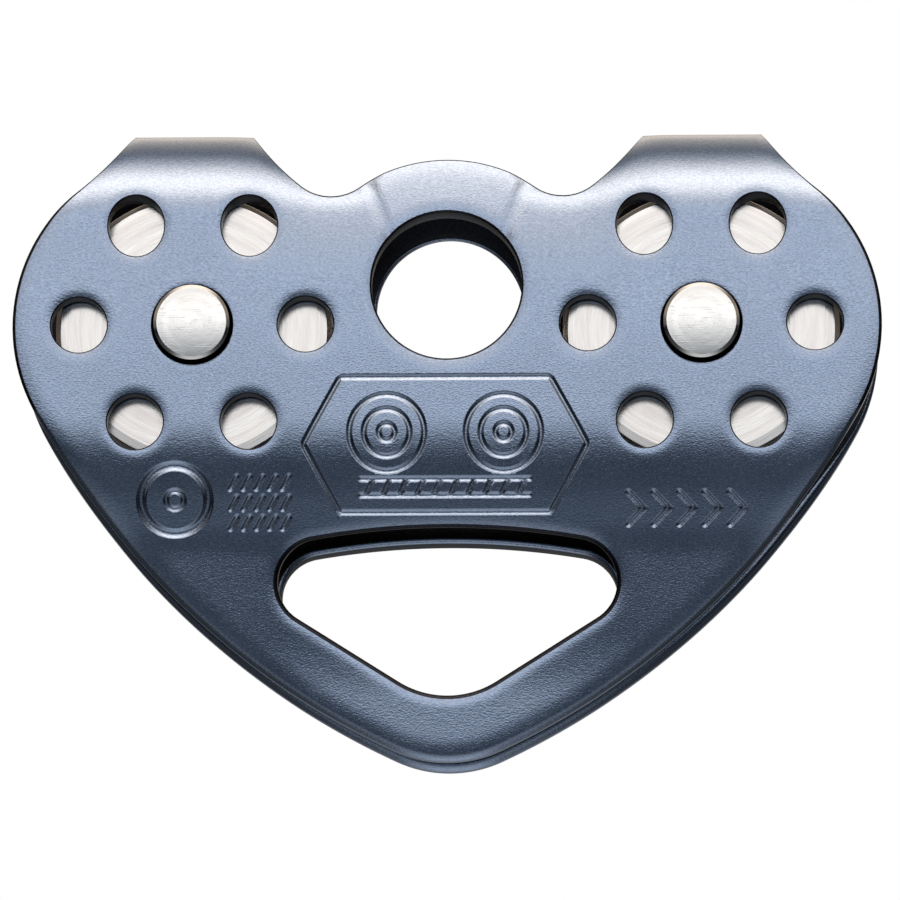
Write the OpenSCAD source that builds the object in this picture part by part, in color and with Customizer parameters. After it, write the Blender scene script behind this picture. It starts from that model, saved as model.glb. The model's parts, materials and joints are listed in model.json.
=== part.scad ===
// Tandem rope pulley: two pressed side plates hold two grooved sheaves in line.
// Each sheave turns on flanged bushes about a sleeve clamped by a riveted axle.
// Origin at the centre of the round top hole, midway between the plates.
// X runs along the rope, Y across the plates (front plate at -Y), Z is up.

/* [Layout] */
// distance between the two axles
axle_spacing = 66.4; // [64.4:0.2:69]
// depth of the axles below the centre of the top hole
axle_drop = 5.2; // [4.6:0.1:5.8]

/* [Side plates] */
// thickness of each side plate
plate_thickness = 3; // [2.6:0.1:3.4]
// clear space between the plates at the sheaves
plate_gap = 16.5; // [15.8:0.1:17.5]
// radius of the plate outline around each axle
lobe_radius = 23.5; // [22.9:0.1:24.1]
// radius of the outline over the top hole
crown_radius = 19.8; // [18.8:0.1:20.8]
// height of the outline over the top hole
crown_top = 17.1; // [16.5:0.1:17.5]
// radius of the dip between the crown and a lobe
valley_radius = 6; // [5:0.2:7]
// depth of the lowest point below the top hole
plate_depth = 62.2; // [61.2:0.1:64.2]
// radius of the outline at the lowest point
foot_radius = 16.5; // [15:0.5:18]
// radius of the long side curves
flank_radius = 102; // [98:1:108]
// depth at which the plates start to lean together
lean_depth = 17.5; // [16:0.5:19]
// angle at which each plate leans in below that depth
lean_angle = 9.5; // [7:0.1:10.5]
// depth at which the lean eases off
knee_depth = 33; // [31:0.5:35]
// angle at which each plate leans in below the knee
foot_lean_angle = 3.5; // [2:0.1:4]

/* [Folded tabs] */
// height at which the tabs start to fold in over the sheaves
fold_start = 9.6; // [9.3:0.1:9.9]
// outer radius of the fold
fold_radius = 12.8; // [12.4:0.1:13.2]
// angle the fold turns through
fold_angle = 70; // [64:1:74]
// slope of the tab sides where they leave the lobes
tab_slope = 40; // [38:1:42]
// radius of the hollow curve of the tab sides
tab_side_radius = 28; // [26:1:32]
// angle at which the crown leans in above the top hole
crown_lean = 12; // [8:1:14]

/* [Holes] */
// radius of the round top hole
top_hole_radius = 9.8; // [9.2:0.1:10]
// radius of the lightening holes
light_hole_radius = 3.65; // [3:0.05:4]
// radius of the ring the lightening holes lie on
light_ring_radius = 14.8; // [14.5:0.1:15.5]
// number of lightening holes around each axle
light_hole_count = 6; // [4:1:6]

/* [Carabiner slot] */
// depth of the top of the slot
slot_top_depth = 31.9; // [31.4:0.1:32.8]
// depth of the bottom of the slot
slot_foot_depth = 53.5; // [52.8:0.1:54.4]
// half the width of the slot
slot_half_width = 22.1; // [21.4:0.1:22.5]
// radius of the upper corners of the slot
slot_corner_radius = 5.5; // [4.9:0.1:6]
// radius of the bottom of the slot
slot_foot_radius = 12; // [11:0.5:12.5]
// radius of the shallow arch over the slot
slot_arch_radius = 103; // [95:1:130]

/* [Sheaves] */
// outer radius of a sheave
sheave_radius = 18.1; // [17.6:0.1:18.2]
// radius at the bottom of the rope groove
groove_root_radius = 10.5; // [10.2:0.1:11]
// radius of the rope groove section
groove_section_radius = 6.1; // [5.4:0.1:6.2]
// depth of the chamfer on the outer edge of each rim
rim_chamfer = 0.6; // [0.3:0.1:0.65]
// width of the shallow bevel inside that chamfer
rim_bevel = 1.1; // [0.8:0.1:1.6]

/* [Axles] */
// radius of the axle shank
axle_radius = 4; // [3.6:0.1:4.2]
// radius of the axle heads
axle_head_radius = 4.95; // [4.8:0.05:5.05]
// radius of the pocket each head sits in
axle_pocket_radius = 5.25; // [5.1:0.05:5.6]
// depth of that pocket
axle_pocket_depth = 1.2; // [0.8:0.1:1.4]
// height of the axle heads above the plate
axle_head_height = 1.8; // [1.5:0.1:2.1]
// width of the chamfer around the axle heads
axle_head_chamfer = 0.4; // [0.3:0.05:0.5]
// rise of the domed face of the axle heads
axle_head_dome = 0.3; // [0.2:0.05:0.4]
// outer radius of the sleeve the sheave runs on
sleeve_radius = 5.5; // [5.2:0.1:5.7]
// radial running clearance between sleeve and bush
running_clearance = 0.05; // [0.03:0.01:0.08]
// wall of the bushes
bush_wall = 1.45; // [1.2:0.05:1.6]
// thickness of the bush flanges
bush_flange = 0.8; // [0.6:0.1:1]
// width of the bush flanges outside the barrel
bush_flange_width = 1.5; // [1.2:0.1:1.8]
// space between the two bushes of a sheave
bush_spacing = 1; // [0.5:0.1:1.5]
// thickness of the thrust washers
washer_thickness = 0.8; // [0.6:0.1:0.9]
// side play of a sheave on each side
side_play = 0.15; // [0.1:0.05:0.2]

/* [Hidden] */
$fn = 96;
axle_x = axle_spacing / 2;
lobe_centre = [axle_x, -axle_drop];
crown_centre = [0, crown_top - crown_radius];
foot_centre = [0, foot_radius - plate_depth];
outer_face = plate_gap / 2 + plate_thickness;
half_length = axle_x + lobe_radius;
valley_x = valley_centre()[0];
knee_shift = (knee_depth - lean_depth) * tan(lean_angle);
foot_shift = knee_shift + (plate_depth - knee_depth) * tan(foot_lean_angle);
fold_centre = [outer_face - fold_radius, fold_start];
tab_top = fold_start + fold_radius * sin(fold_angle);
slot_corner = [slot_half_width - slot_corner_radius,
    -slot_top_depth - slot_arch_radius
    + sqrt(pow(slot_arch_radius - slot_corner_radius, 2)
           - pow(slot_half_width - slot_corner_radius, 2))];
slot_foot = [0, slot_foot_radius - slot_foot_depth];
sheave_width = plate_gap - 2 * (washer_thickness + side_play);
bush_bore = sleeve_radius + running_clearance;
bush_radius = bush_bore + bush_wall;
bush_flange_radius = bush_radius + bush_flange_width;
rim_chamfer_width = 0.6;
rim_bevel_depth = 0.05;
margin = 1;
PLATE_BLUE = [0.45, 0.53, 0.64];
STEEL = [0.80, 0.80, 0.79];
TURNED = [0.83, 0.82, 0.80];
BRONZE = [0.55, 0.42, 0.26];

// unit vector at an angle from +X
function heading(angle) = [cos(angle), sin(angle)];

// angle of a vector from +X
function bearing(v) = atan2(v[1], v[0]);

// evenly spaced points along an arc, both ends included
function arc(centre, radius, from, to, steps) =
    [for (i = [0 : steps]) centre + radius * heading(from + (to - from) * i / steps)];

// the same points in the opposite order
function reversed(points) = [for (i = [len(points) - 1 : -1 : 0]) points[i]];

// closed outline from one half and its mirror image; flip is [-1, 1] or [1, -1]
function mirrored(half, flip) =
    concat(half, [for (p = reversed(half)) [p[0] * flip[0], p[1] * flip[1]]]);

// outline with points that fall on their neighbour left out
function without_repeats(points) =
    [for (i = [0 : len(points) - 1])
        if (norm(points[i] - points[(i + 1) % len(points)]) > 0.001) points[i]];

// point where two circles cross, on the left of the line from the first to the second
function circles_cross(p, rp, q, rq) =
    let (span = norm(q - p),
         along = (rp * rp - rq * rq + span * span) / (2 * span),
         dir = (q - p) / span)
    p + along * dir + sqrt(rp * rp - along * along) * [-dir[1], dir[0]];

// centre of the valley circle, which touches the crown and the tab side
function valley_centre() =
    let (normal = heading(90 + tab_slope),
         along = heading(tab_slope),
         level = normal * lobe_centre + lobe_radius + valley_radius,
         aside = level - normal * crown_centre,
         reach = crown_radius + valley_radius)
    level * normal + (along * crown_centre + sqrt(reach * reach - aside * aside)) * along;

// hollow curve of a tab side from its start up past the tab end; side is 1 towards the crown
function tab_side(start, side) =
    let (centre = start + tab_side_radius * heading(90 + side * tab_slope),
         end_slope = acos((centre[1] - tab_top - margin) / tab_side_radius))
    arc(centre, tab_side_radius, 270 + side * tab_slope, 270 + side * end_slope, 8);

// whole front view of a plate, without holes
module plate_outline() {
    valley = valley_centre();
    valley_bearing = bearing(valley - crown_centre);
    valley_end = valley + valley_radius * heading(270 + tab_slope);
    lobe_start = lobe_centre + lobe_radius * heading(90 - tab_slope);
    flank = circles_cross(foot_centre, flank_radius - foot_radius,
        lobe_centre, flank_radius - lobe_radius);
    lobe_bearing = bearing(lobe_centre - flank);
    foot_bearing = bearing(foot_centre - flank);
    polygon(without_repeats(mirrored(concat(
        arc(crown_centre, crown_radius, 90, valley_bearing, 10),
        arc(valley, valley_radius, valley_bearing + 180, 270 + tab_slope, 7),
        tab_side(valley_end, 1),
        reversed(tab_side(lobe_start, -1)),
        arc(lobe_centre, lobe_radius, 90 - tab_slope, lobe_bearing, 16),
        arc(flank, flank_radius, lobe_bearing, foot_bearing, 16),
        arc(foot_centre, foot_radius, foot_bearing, -90, 8)), [-1, 1])));
}

// rounded triangle under a shallow arch
module slot_outline() {
    arch_centre = [0, -slot_top_depth - slot_arch_radius];
    arch_bearing = bearing(slot_corner - arch_centre);
    side = slot_corner - slot_foot;
    side_bearing = bearing(side)
        - acos((slot_foot_radius - slot_corner_radius) / norm(side));
    polygon(without_repeats(mirrored(concat(
        arc(arch_centre, slot_arch_radius, 90, arch_bearing, 6),
        arc(slot_corner, slot_corner_radius, arch_bearing, side_bearing, 12),
        arc(slot_foot, slot_foot_radius, side_bearing, -90, 6)), [-1, 1])));
}

// section of the plate across its thickness, leaning in towards the foot
module leaning_section() {
    inner = plate_gap / 2;
    polygon([
        [inner, fold_start],
        [inner, -lean_depth],
        [inner - knee_shift, -knee_depth],
        [inner - foot_shift, -plate_depth],
        [outer_face - foot_shift, -plate_depth],
        [outer_face - knee_shift, -knee_depth],
        [outer_face, -lean_depth],
        [outer_face, fold_start]]);
}

// section of the crown, leaning in over the top hole
module crown_section() {
    top = crown_top + margin;
    shift = (top - fold_start) * tan(crown_lean);
    polygon([
        [plate_gap / 2, fold_start],
        [outer_face, fold_start],
        [outer_face - shift, top],
        [plate_gap / 2 - shift, top]]);
}

// section of a tab, folded in over the sheave
module folded_section() {
    polygon(concat(
        arc(fold_centre, fold_radius, 0, fold_angle, 14),
        reversed(arc(fold_centre, fold_radius - plate_thickness, 0, fold_angle, 14))));
}

// sweep a Y-Z section along X between two stations
module sweep_along_x(from, to) {
    translate([from, 0, 0])
        rotate([90, 0, 90])
            linear_extrude(to - from) children();
}

// push an X-Z outline across along Y
module push_across() {
    rotate([90, 0, 0])
        linear_extrude(4 * outer_face, center = true) children();
}

// pressed blank of one plate: leaning body, leaning crown and two folded tabs
module plate_blank() {
    end = half_length + margin;
    sweep_along_x(-end, end) leaning_section();
    sweep_along_x(-valley_x, valley_x) crown_section();
    sweep_along_x(-end, -valley_x) folded_section();
    sweep_along_x(valley_x, end) folded_section();
}

// one side plate, drawn as the back one
module side_plate() {
    color(PLATE_BLUE)
        difference() {
            intersection() {
                plate_blank();
                push_across() plate_outline();
            }
            push_across() {
                circle(top_hole_radius);
                slot_outline();
                for (side = [-1, 1])
                    translate([side * axle_x, -axle_drop]) {
                        circle(axle_radius);
                        for (i = [0 : light_hole_count - 1])
                            translate(light_ring_radius * heading(i * 360 / light_hole_count))
                                circle(light_hole_radius);
                    }
            }
            for (side = [-1, 1])
                on_axle(side)
                    translate([0, 0, outer_face - axle_pocket_depth])
                        cylinder(r = axle_pocket_radius, h = axle_pocket_depth + margin);
        }
}

module side_plate_front() {
    mirror([0, 1, 0]) side_plate();
}

module side_plate_back() {
    side_plate();
}

// put a part drawn around the Z axis onto one axle line, its top towards +Y
module on_axle(side) {
    translate([side * axle_x, 0, -axle_drop])
        rotate([-90, 0, 0]) children();
}

// riveted pin with a low domed head in a pocket of each side plate
module axle(side) {
    head_base = outer_face - axle_pocket_depth;
    face_radius = axle_head_radius - axle_head_chamfer;
    head_top = outer_face + axle_head_height;
    color(STEEL)
        on_axle(side)
            rotate_extrude()
                polygon(without_repeats(mirrored([
                    [axle_radius, 0],
                    [axle_radius, head_base],
                    [axle_head_radius, head_base],
                    [axle_head_radius, head_top - axle_head_chamfer],
                    [face_radius, head_top],
                    [face_radius / 2, head_top + axle_head_dome * 0.75],
                    [0, head_top + axle_head_dome]], [1, -1])));
}

// distance tube that the plates are clamped against
module sleeve(side) {
    color(STEEL)
        on_axle(side)
            difference() {
                cylinder(r = sleeve_radius, h = plate_gap, center = true);
                cylinder(r = axle_radius, h = plate_gap + margin, center = true);
            }
}

// thrust washer against the inside of a plate; face is -1 for front, 1 for back
module washer(side, face) {
    color(BRONZE)
        on_axle(side)
            translate([0, 0, face * (plate_gap - washer_thickness) / 2])
                difference() {
                    cylinder(r = bush_flange_radius, h = washer_thickness, center = true);
                    cylinder(r = bush_bore, h = washer_thickness + margin, center = true);
                }
}

// grooved wheel with chamfered rims and a counterbored hub
module sheave(side) {
    half = sheave_width / 2;
    chamfer_top = sheave_radius - rim_chamfer_width;
    color(TURNED)
        on_axle(side)
            rotate_extrude()
                difference() {
                    polygon(without_repeats(mirrored([
                        [sheave_radius, 0],
                        [sheave_radius, half - rim_bevel_depth - rim_chamfer],
                        [chamfer_top, half - rim_bevel_depth],
                        [chamfer_top - rim_bevel, half],
                        [bush_flange_radius, half],
                        [bush_flange_radius, half - bush_flange],
                        [bush_radius, half - bush_flange],
                        [bush_radius, 0]], [1, -1])));
                    translate([groove_root_radius + groove_section_radius, 0]) {
                        circle(groove_section_radius);
                        translate([0, -groove_section_radius])
                            square([sheave_radius, 2 * groove_section_radius]);
                    }
                }
}

// flanged plain bearing pressed into one side of a sheave hub
module bush(side, face) {
    half = sheave_width / 2;
    color(BRONZE)
        on_axle(side)
            mirror([0, 0, face < 0 ? 1 : 0])
                rotate_extrude()
                    polygon([
                        [bush_bore, bush_spacing / 2],
                        [bush_radius, bush_spacing / 2],
                        [bush_radius, half - bush_flange],
                        [bush_flange_radius, half - bush_flange],
                        [bush_flange_radius, half],
                        [bush_bore, half]]);
}

side_plate_front();
side_plate_back();
axle(-1);  // axle_left
axle(1);  // axle_right
sleeve(-1);  // sleeve_left
sleeve(1);  // sleeve_right
washer(-1, -1);  // washer_left_front
washer(-1, 1);  // washer_left_back
washer(1, -1);  // washer_right_front
washer(1, 1);  // washer_right_back
sheave(-1);  // sheave_left
sheave(1);  // sheave_right
bush(-1, -1);  // bush_left_front
bush(-1, 1);  // bush_left_back
bush(1, -1);  // bush_right_front
bush(1, 1);  // bush_right_back
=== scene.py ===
"""Looks of a tandem rope pulley, built around its CAD frame.

Lengths inside the mesh code are in millimetres and are turned into metres when a mesh is made.
A side plate is worked out flat, as a developed sheet with X along the rope and S up the sheet,
and is then bent: it leans in towards the foot and at the crown, and its two tabs fold in over the sheaves.
"""

import json
import math
from collections import namedtuple

import bpy
import numpy as np
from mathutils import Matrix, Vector
from mathutils.geometry import delaunay_2d_cdt


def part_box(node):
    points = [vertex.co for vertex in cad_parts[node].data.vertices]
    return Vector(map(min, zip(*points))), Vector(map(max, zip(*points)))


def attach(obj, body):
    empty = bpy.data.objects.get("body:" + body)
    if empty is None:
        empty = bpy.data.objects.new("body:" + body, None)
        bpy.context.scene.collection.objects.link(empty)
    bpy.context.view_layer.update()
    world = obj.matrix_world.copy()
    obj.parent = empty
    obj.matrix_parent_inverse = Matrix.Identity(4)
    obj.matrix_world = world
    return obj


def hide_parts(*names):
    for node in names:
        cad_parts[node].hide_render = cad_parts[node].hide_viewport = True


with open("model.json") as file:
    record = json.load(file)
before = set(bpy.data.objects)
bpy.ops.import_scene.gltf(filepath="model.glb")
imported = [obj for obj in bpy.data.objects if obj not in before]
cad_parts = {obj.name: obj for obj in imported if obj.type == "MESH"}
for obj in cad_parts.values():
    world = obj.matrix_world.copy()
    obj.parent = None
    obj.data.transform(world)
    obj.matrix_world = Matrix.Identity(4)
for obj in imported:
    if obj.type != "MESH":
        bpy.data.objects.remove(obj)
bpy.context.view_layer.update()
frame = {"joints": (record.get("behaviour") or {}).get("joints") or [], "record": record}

# ---------------------------------------------------------------- driving sizes, from the frame

MM = 0.001
MOUNTS = {mount["name"]: mount for mount in frame["record"]["mounts"]}
JOINTS = {joint["name"]: joint for joint in frame["joints"]}
PLATE_LOW, PLATE_HIGH = [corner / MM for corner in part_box("side_plate_back")]
SLEEVE_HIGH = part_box("sleeve_right")[1] / MM
HEAD_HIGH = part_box("axle_right")[1] / MM
SHEAVE_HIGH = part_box("sheave_right")[1] / MM

AXLE_X = JOINTS["sheave_right_spin"]["pos_m"][0] / MM
AXLE_Z = JOINTS["sheave_right_spin"]["pos_m"][2] / MM
TOP_HOLE_RADIUS = MOUNTS["top_hole"]["dims"]["r_mm"]
OUTER_FACE = MOUNTS["top_hole"]["dims"]["length_mm"] / 2
INNER_FACE = SLEEVE_HIGH.y
THICKNESS = OUTER_FACE - INNER_FACE
LOBE_RADIUS = PLATE_HIGH.x - AXLE_X
PLATE_DEPTH = -PLATE_LOW.z
TAB_TOP = PLATE_HIGH.z
SLOT_HALF_WIDTH = MOUNTS["carabiner_slot"]["dims"]["slot_length_mm"] / 2
HEAD_RADIUS = HEAD_HIGH.x - AXLE_X
HEAD_TOP = HEAD_HIGH.y
SHEAVE_RADIUS = SHEAVE_HIGH.x - AXLE_X
SHEAVE_HALF = SHEAVE_HIGH.y

# ---------------------------------------------------------------- plate outline

CROWN_RADIUS = 19.8
CROWN_TOP = 17.1
VALLEY_RADIUS = 6.0
FOOT_RADIUS = 16.5
FLANK_RADIUS = 102.0
TAB_SLOPE = 40.0
TAB_SIDE_RADIUS = 28.0
LIGHT_HOLE_RADIUS = 3.65
UPPER_HOLE_STRETCH = 1.12
UPPER_HOLE_RISE = 0.4
LIGHT_RING_RADIUS = 14.8
LIGHT_HOLE_COUNT = 6
AXLE_HOLE_RADIUS = 4.0
POCKET_RADIUS = 5.25
POCKET_DEPTH = 1.2
SLOT_TOP = -31.9
SLOT_FOOT = -53.5
SLOT_CORNER_RADIUS = 5.5
SLOT_FOOT_RADIUS = 12.0
SLOT_ARCH_RADIUS = 103.0

LOBE_CENTRE = np.array([AXLE_X, AXLE_Z])
CROWN_CENTRE = np.array([0, CROWN_TOP - CROWN_RADIUS])
FOOT_CENTRE = np.array([0, FOOT_RADIUS - PLATE_DEPTH])

# ---------------------------------------------------------------- how the sheet is bent

FOLD_ANGLE = 70.0
FOLD_RADIUS = 12.8
FOLD_START = TAB_TOP - FOLD_RADIUS * math.sin(math.radians(FOLD_ANGLE))
FOLD_ARC = math.radians(FOLD_ANGLE) * (FOLD_RADIUS - THICKNESS / 2)
CROWN_START = 0.0
CROWN_BEND_RADIUS = 72.0
CROWN_HALF = 8.0
CROWN_CREASE = 12.5
SHOULDER_START = 16.0
SHOULDER_END = 30.0
LEAN_START = -16.5
LEAN_PROFILE = [
    (-62.0, 1.2), (-54.0, 1.8), (-50.0, 4.2), (-46.0, 6.0),
    (-36.0, 6.0), (-31.0, 13.0), (-28.0, 12.5), (-26.0, 10.0),
]
UPPER_LEAN = 1.0
UPPER_LEAN_START = -13.0
UPPER_LEAN_FULL = -1.0
BELOW_FOOT = 2.0
BEYOND_TAB = 4.0
STATION_STEP = 0.05

# ---------------------------------------------------------------- edges of the sheet
# An edge has a closed chain of points with the metal on its left, the radius of its arris,
# and the width and drop of the gentle roll-over beside it. The arris of the outline varies
# with height: the list gives height and radius.

Edge = namedtuple("Edge", "loop arris roll fall")
OUTLINE_ARRIS = [(-26.0, 1.0), (-16.5, 0.42), (8.0, 0.42), (14.0, 0.2)]
OUTLINE_EDGE = (OUTLINE_ARRIS[0][1], 2.0, 0.12)
SLOT_EDGE = (0.55, 1.2, 0.1)
TOP_HOLE_EDGE = (0.26, 1.5, 0.13)
LIGHT_HOLE_EDGE = (0.16, 1.2, 0.1)
AXLE_HOLE_EDGE = (0.15, 0.5, 0.02)
ARRIS_STEPS = 6
ROLL_RINGS = (0.25, 0.55, 0.9, 1.3)
EDGE_SPACING = 0.8


def heading(degrees):
    """Unit vector at an angle from +X."""
    return np.array([math.cos(math.radians(degrees)), math.sin(math.radians(degrees))])


def bearing(vector):
    """Angle of a vector from +X, in degrees."""
    return math.degrees(math.atan2(vector[1], vector[0]))


def arc(centre, radius, start, end, spacing=0.8):
    """Points along an arc, both ends included, about one per spacing."""
    length = abs(math.radians(end - start)) * radius
    steps = max(3, math.ceil(length / spacing))
    return [centre + radius * heading(start + (end - start) * i / steps) for i in range(steps + 1)]


def mirrored(half):
    """Closed outline from a right half that runs from the top down to the bottom."""
    return half + [np.array([-x, z]) for x, z in reversed(half)]


def evenly_spaced(points, spacing):
    """A closed outline with extra points on its long straight runs and none doubled."""
    result = []
    for here, there in zip(points, points[1:] + points[:1]):
        gap = np.linalg.norm(there - here)
        if gap < 0.001:
            continue
        steps = max(1, round(gap / spacing))
        result += [here + (there - here) * i / steps for i in range(steps)]
    return np.array(result)


def circles_cross(p, rp, q, rq):
    """Point where two circles cross, on the left of the line from the first to the second."""
    span = np.linalg.norm(q - p)
    along = (rp * rp - rq * rq + span * span) / (2 * span)
    way = (q - p) / span
    return p + along * way + math.sqrt(rp * rp - along * along) * np.array([-way[1], way[0]])


def valley_centre():
    """Centre of the circle that rounds the dip between crown and lobe."""
    normal = heading(90 + TAB_SLOPE)
    along = heading(TAB_SLOPE)
    level = normal @ LOBE_CENTRE + LOBE_RADIUS + VALLEY_RADIUS
    aside = level - normal @ CROWN_CENTRE
    reach = CROWN_RADIUS + VALLEY_RADIUS
    return level * normal + (along @ CROWN_CENTRE + math.sqrt(reach**2 - aside**2)) * along


def tab_side(start, side):
    """Hollow curve of a tab side from its foot up to the tab end; side is 1 towards the crown."""
    centre = start + TAB_SIDE_RADIUS * heading(90 + side * TAB_SLOPE)
    end_slope = math.degrees(math.acos((centre[1] - TAB_TOP) / TAB_SIDE_RADIUS))
    return arc(centre, TAB_SIDE_RADIUS, 270 + side * TAB_SLOPE, 270 + side * end_slope)


def plate_outline():
    """Front view of a plate, running clockwise from the top of the crown."""
    valley = valley_centre()
    valley_bearing = bearing(valley - CROWN_CENTRE)
    valley_end = valley + VALLEY_RADIUS * heading(270 + TAB_SLOPE)
    lobe_start = LOBE_CENTRE + LOBE_RADIUS * heading(90 - TAB_SLOPE)
    flank = circles_cross(
        FOOT_CENTRE, FLANK_RADIUS - FOOT_RADIUS, LOBE_CENTRE, FLANK_RADIUS - LOBE_RADIUS
    )
    lobe_bearing = bearing(LOBE_CENTRE - flank)
    foot_bearing = bearing(FOOT_CENTRE - flank)
    half = arc(CROWN_CENTRE, CROWN_RADIUS, 90, valley_bearing)
    half += arc(valley, VALLEY_RADIUS, valley_bearing + 180, 270 + TAB_SLOPE)
    half += tab_side(valley_end, 1)
    half += tab_side(lobe_start, -1)[::-1]
    half += arc(LOBE_CENTRE, LOBE_RADIUS, 90 - TAB_SLOPE, lobe_bearing)
    half += arc(flank, FLANK_RADIUS, lobe_bearing, foot_bearing)
    half += arc(FOOT_CENTRE, FOOT_RADIUS, foot_bearing, -90)
    return mirrored(half)


def slot_outline():
    """Rounded triangle under a shallow arch, running clockwise from its top."""
    arch_centre = np.array([0, SLOT_TOP - SLOT_ARCH_RADIUS])
    corner_x = SLOT_HALF_WIDTH - SLOT_CORNER_RADIUS
    corner_drop = math.sqrt((SLOT_ARCH_RADIUS - SLOT_CORNER_RADIUS) ** 2 - corner_x**2)
    corner = np.array([corner_x, arch_centre[1] + corner_drop])
    foot = np.array([0, SLOT_FOOT + SLOT_FOOT_RADIUS])
    side = corner - foot
    shrink = (SLOT_FOOT_RADIUS - SLOT_CORNER_RADIUS) / np.linalg.norm(side)
    arch_bearing = bearing(corner - arch_centre)
    side_bearing = bearing(side) - math.degrees(math.acos(shrink))
    half = arc(arch_centre, SLOT_ARCH_RADIUS, 90, arch_bearing)
    half += arc(corner, SLOT_CORNER_RADIUS, arch_bearing, side_bearing, 0.5)
    half += arc(foot, SLOT_FOOT_RADIUS, side_bearing, -90, 0.5)
    return mirrored(half)


def round_hole(centre, radius, spacing=0.45):
    """Circle running clockwise."""
    return arc(np.array(centre), radius, 360, 0, spacing)


def light_holes():
    """Outlines of the lightening holes around both axles; the uppermost ones are a little taller."""
    holes = []
    for side in (-1, 1):
        for i in range(LIGHT_HOLE_COUNT):
            spot = LIGHT_RING_RADIUS * heading(i * 360 / LIGHT_HOLE_COUNT)
            centre = np.array([side * AXLE_X, AXLE_Z]) + spot
            hole = np.array(round_hole([0, 0], LIGHT_HOLE_RADIUS))
            if spot[1] > LIGHT_RING_RADIUS / 2:
                hole = hole * [1, UPPER_HOLE_STRETCH] + [0, UPPER_HOLE_RISE]
            holes.append(list(centre + hole))
    return holes


def plate_edges(axle_opening):
    """All edges of the flat sheet, the outline first and the openings for the axles last."""
    edges = [Edge(evenly_spaced(plate_outline(), EDGE_SPACING)[::-1], *OUTLINE_EDGE)]
    edges.append(Edge(evenly_spaced(slot_outline(), EDGE_SPACING), *SLOT_EDGE))
    top_hole = round_hole([0, 0], TOP_HOLE_RADIUS)
    edges.append(Edge(evenly_spaced(top_hole, EDGE_SPACING), *TOP_HOLE_EDGE))
    edges += [Edge(evenly_spaced(hole, EDGE_SPACING), *LIGHT_HOLE_EDGE) for hole in light_holes()]
    for side in (-1, 1):
        hole = round_hole([side * AXLE_X, AXLE_Z], axle_opening, axle_opening / 10)
        edges.append(Edge(evenly_spaced(hole, EDGE_SPACING), *AXLE_HOLE_EDGE))
    return [edge._replace(loop=developed(edge.loop)) for edge in edges]


def arris_radius(edge, points, edges):
    """Radius of an arris at some points; that of the outline varies with height."""
    if edge is not edges[0]:
        return np.full(len(points), edge.arris)
    heights, radii = zip(*OUTLINE_ARRIS)
    return np.interp(points[:, 1], heights, radii)


def inset(loop, distance):
    """The loop moved into the metal on its left."""
    ahead = np.roll(loop, -1, axis=0) - loop
    behind = loop - np.roll(loop, 1, axis=0)
    ahead /= np.linalg.norm(ahead, axis=1)[:, None]
    behind /= np.linalg.norm(behind, axis=1)[:, None]
    tangent = ahead + behind
    tangent /= np.linalg.norm(tangent, axis=1)[:, None]
    return loop + np.reshape(distance, (-1, 1)) * np.stack([-tangent[:, 1], tangent[:, 0]], axis=1)


def inside(points, loop):
    """True for each point that lies inside the closed loop."""
    result = np.zeros(len(points), bool)
    for (x0, z0), (x1, z1) in zip(loop, np.roll(loop, -1, axis=0)):
        if z0 == z1:
            continue
        spans = (z0 > points[:, 1]) != (z1 > points[:, 1])
        crossing = x0 + (points[:, 1] - z0) / (z1 - z0) * (x1 - x0)
        result ^= spans & (points[:, 0] < crossing)
    return result


def in_metal(points, edges):
    """True for each point inside the outline and outside every hole."""
    holes = [inside(points, edge.loop) for edge in edges[1:]]
    return inside(points, edges[0].loop) & ~np.any(holes, axis=0)


def closed(loop):
    """The loop with its first point again at the end."""
    return np.concatenate([loop, loop[:1]])


def distance_to_path(points, path):
    """Distance from each point to a chain of straight runs."""
    best = np.full(len(points), np.inf)
    for start, end in zip(path[:-1], path[1:]):
        run = end - start
        share = np.clip(((points - start) @ run) / max(run @ run, 1e-12), 0, 1)
        best = np.minimum(best, np.linalg.norm(points - start - share[:, None] * run, axis=1))
    return best


def smooth_step(low, high, value):
    """0 below low, 1 above high, and an S curve between."""
    t = np.clip((value - low) / (high - low), 0, 1)
    return t * t * (3 - 2 * t)


# ---------------------------------------------------------------- bending the sheet


def section(folded, shoulder):
    """Mid-surface of the sheet across its thickness: stations, outward shift, height and tilt."""
    s = np.arange(-PLATE_DEPTH - BELOW_FOOT, FOLD_START + FOLD_ARC + BEYOND_TAB, STATION_STEP)
    stations, angles = zip(*LEAN_PROFILE)
    tilt = np.interp(s, stations, angles)
    tilt *= 1 - smooth_step(stations[-1], LEAN_START, s)
    tilt -= UPPER_LEAN * smooth_step(UPPER_LEAN_START, UPPER_LEAN_FULL, s)
    bend_end = FOLD_START if folded else s[-1]
    if shoulder:
        tilt -= np.degrees(np.clip(s, CROWN_START, bend_end) - CROWN_START) / CROWN_BEND_RADIUS
    if folded:
        tilt -= (FOLD_ANGLE + tilt[-1]) * np.clip((s - FOLD_START) / FOLD_ARC, 0, 1)
    slope = np.radians(tilt)
    step = s[1] - s[0]
    out = np.concatenate([[0], np.cumsum(np.sin(slope[:-1])) * step])
    rise = np.concatenate([[0], np.cumsum(np.cos(slope[:-1])) * step])
    out += (INNER_FACE + OUTER_FACE) / 2 - np.interp(0, s, out)
    rise -= np.interp(0, s, rise)
    return s, out, rise, slope


SECTIONS = (section(False, True), section(True, True), section(True, False))


def section_weights(x):
    """Shares of the three sections: crown, shoulder beside it, and the far side of a lobe."""
    fold = smooth_step(CROWN_HALF, CROWN_CREASE, np.abs(x))
    far = smooth_step(SHOULDER_START, SHOULDER_END, np.abs(x))
    return 1 - fold, fold * (1 - far), fold * far


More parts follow.
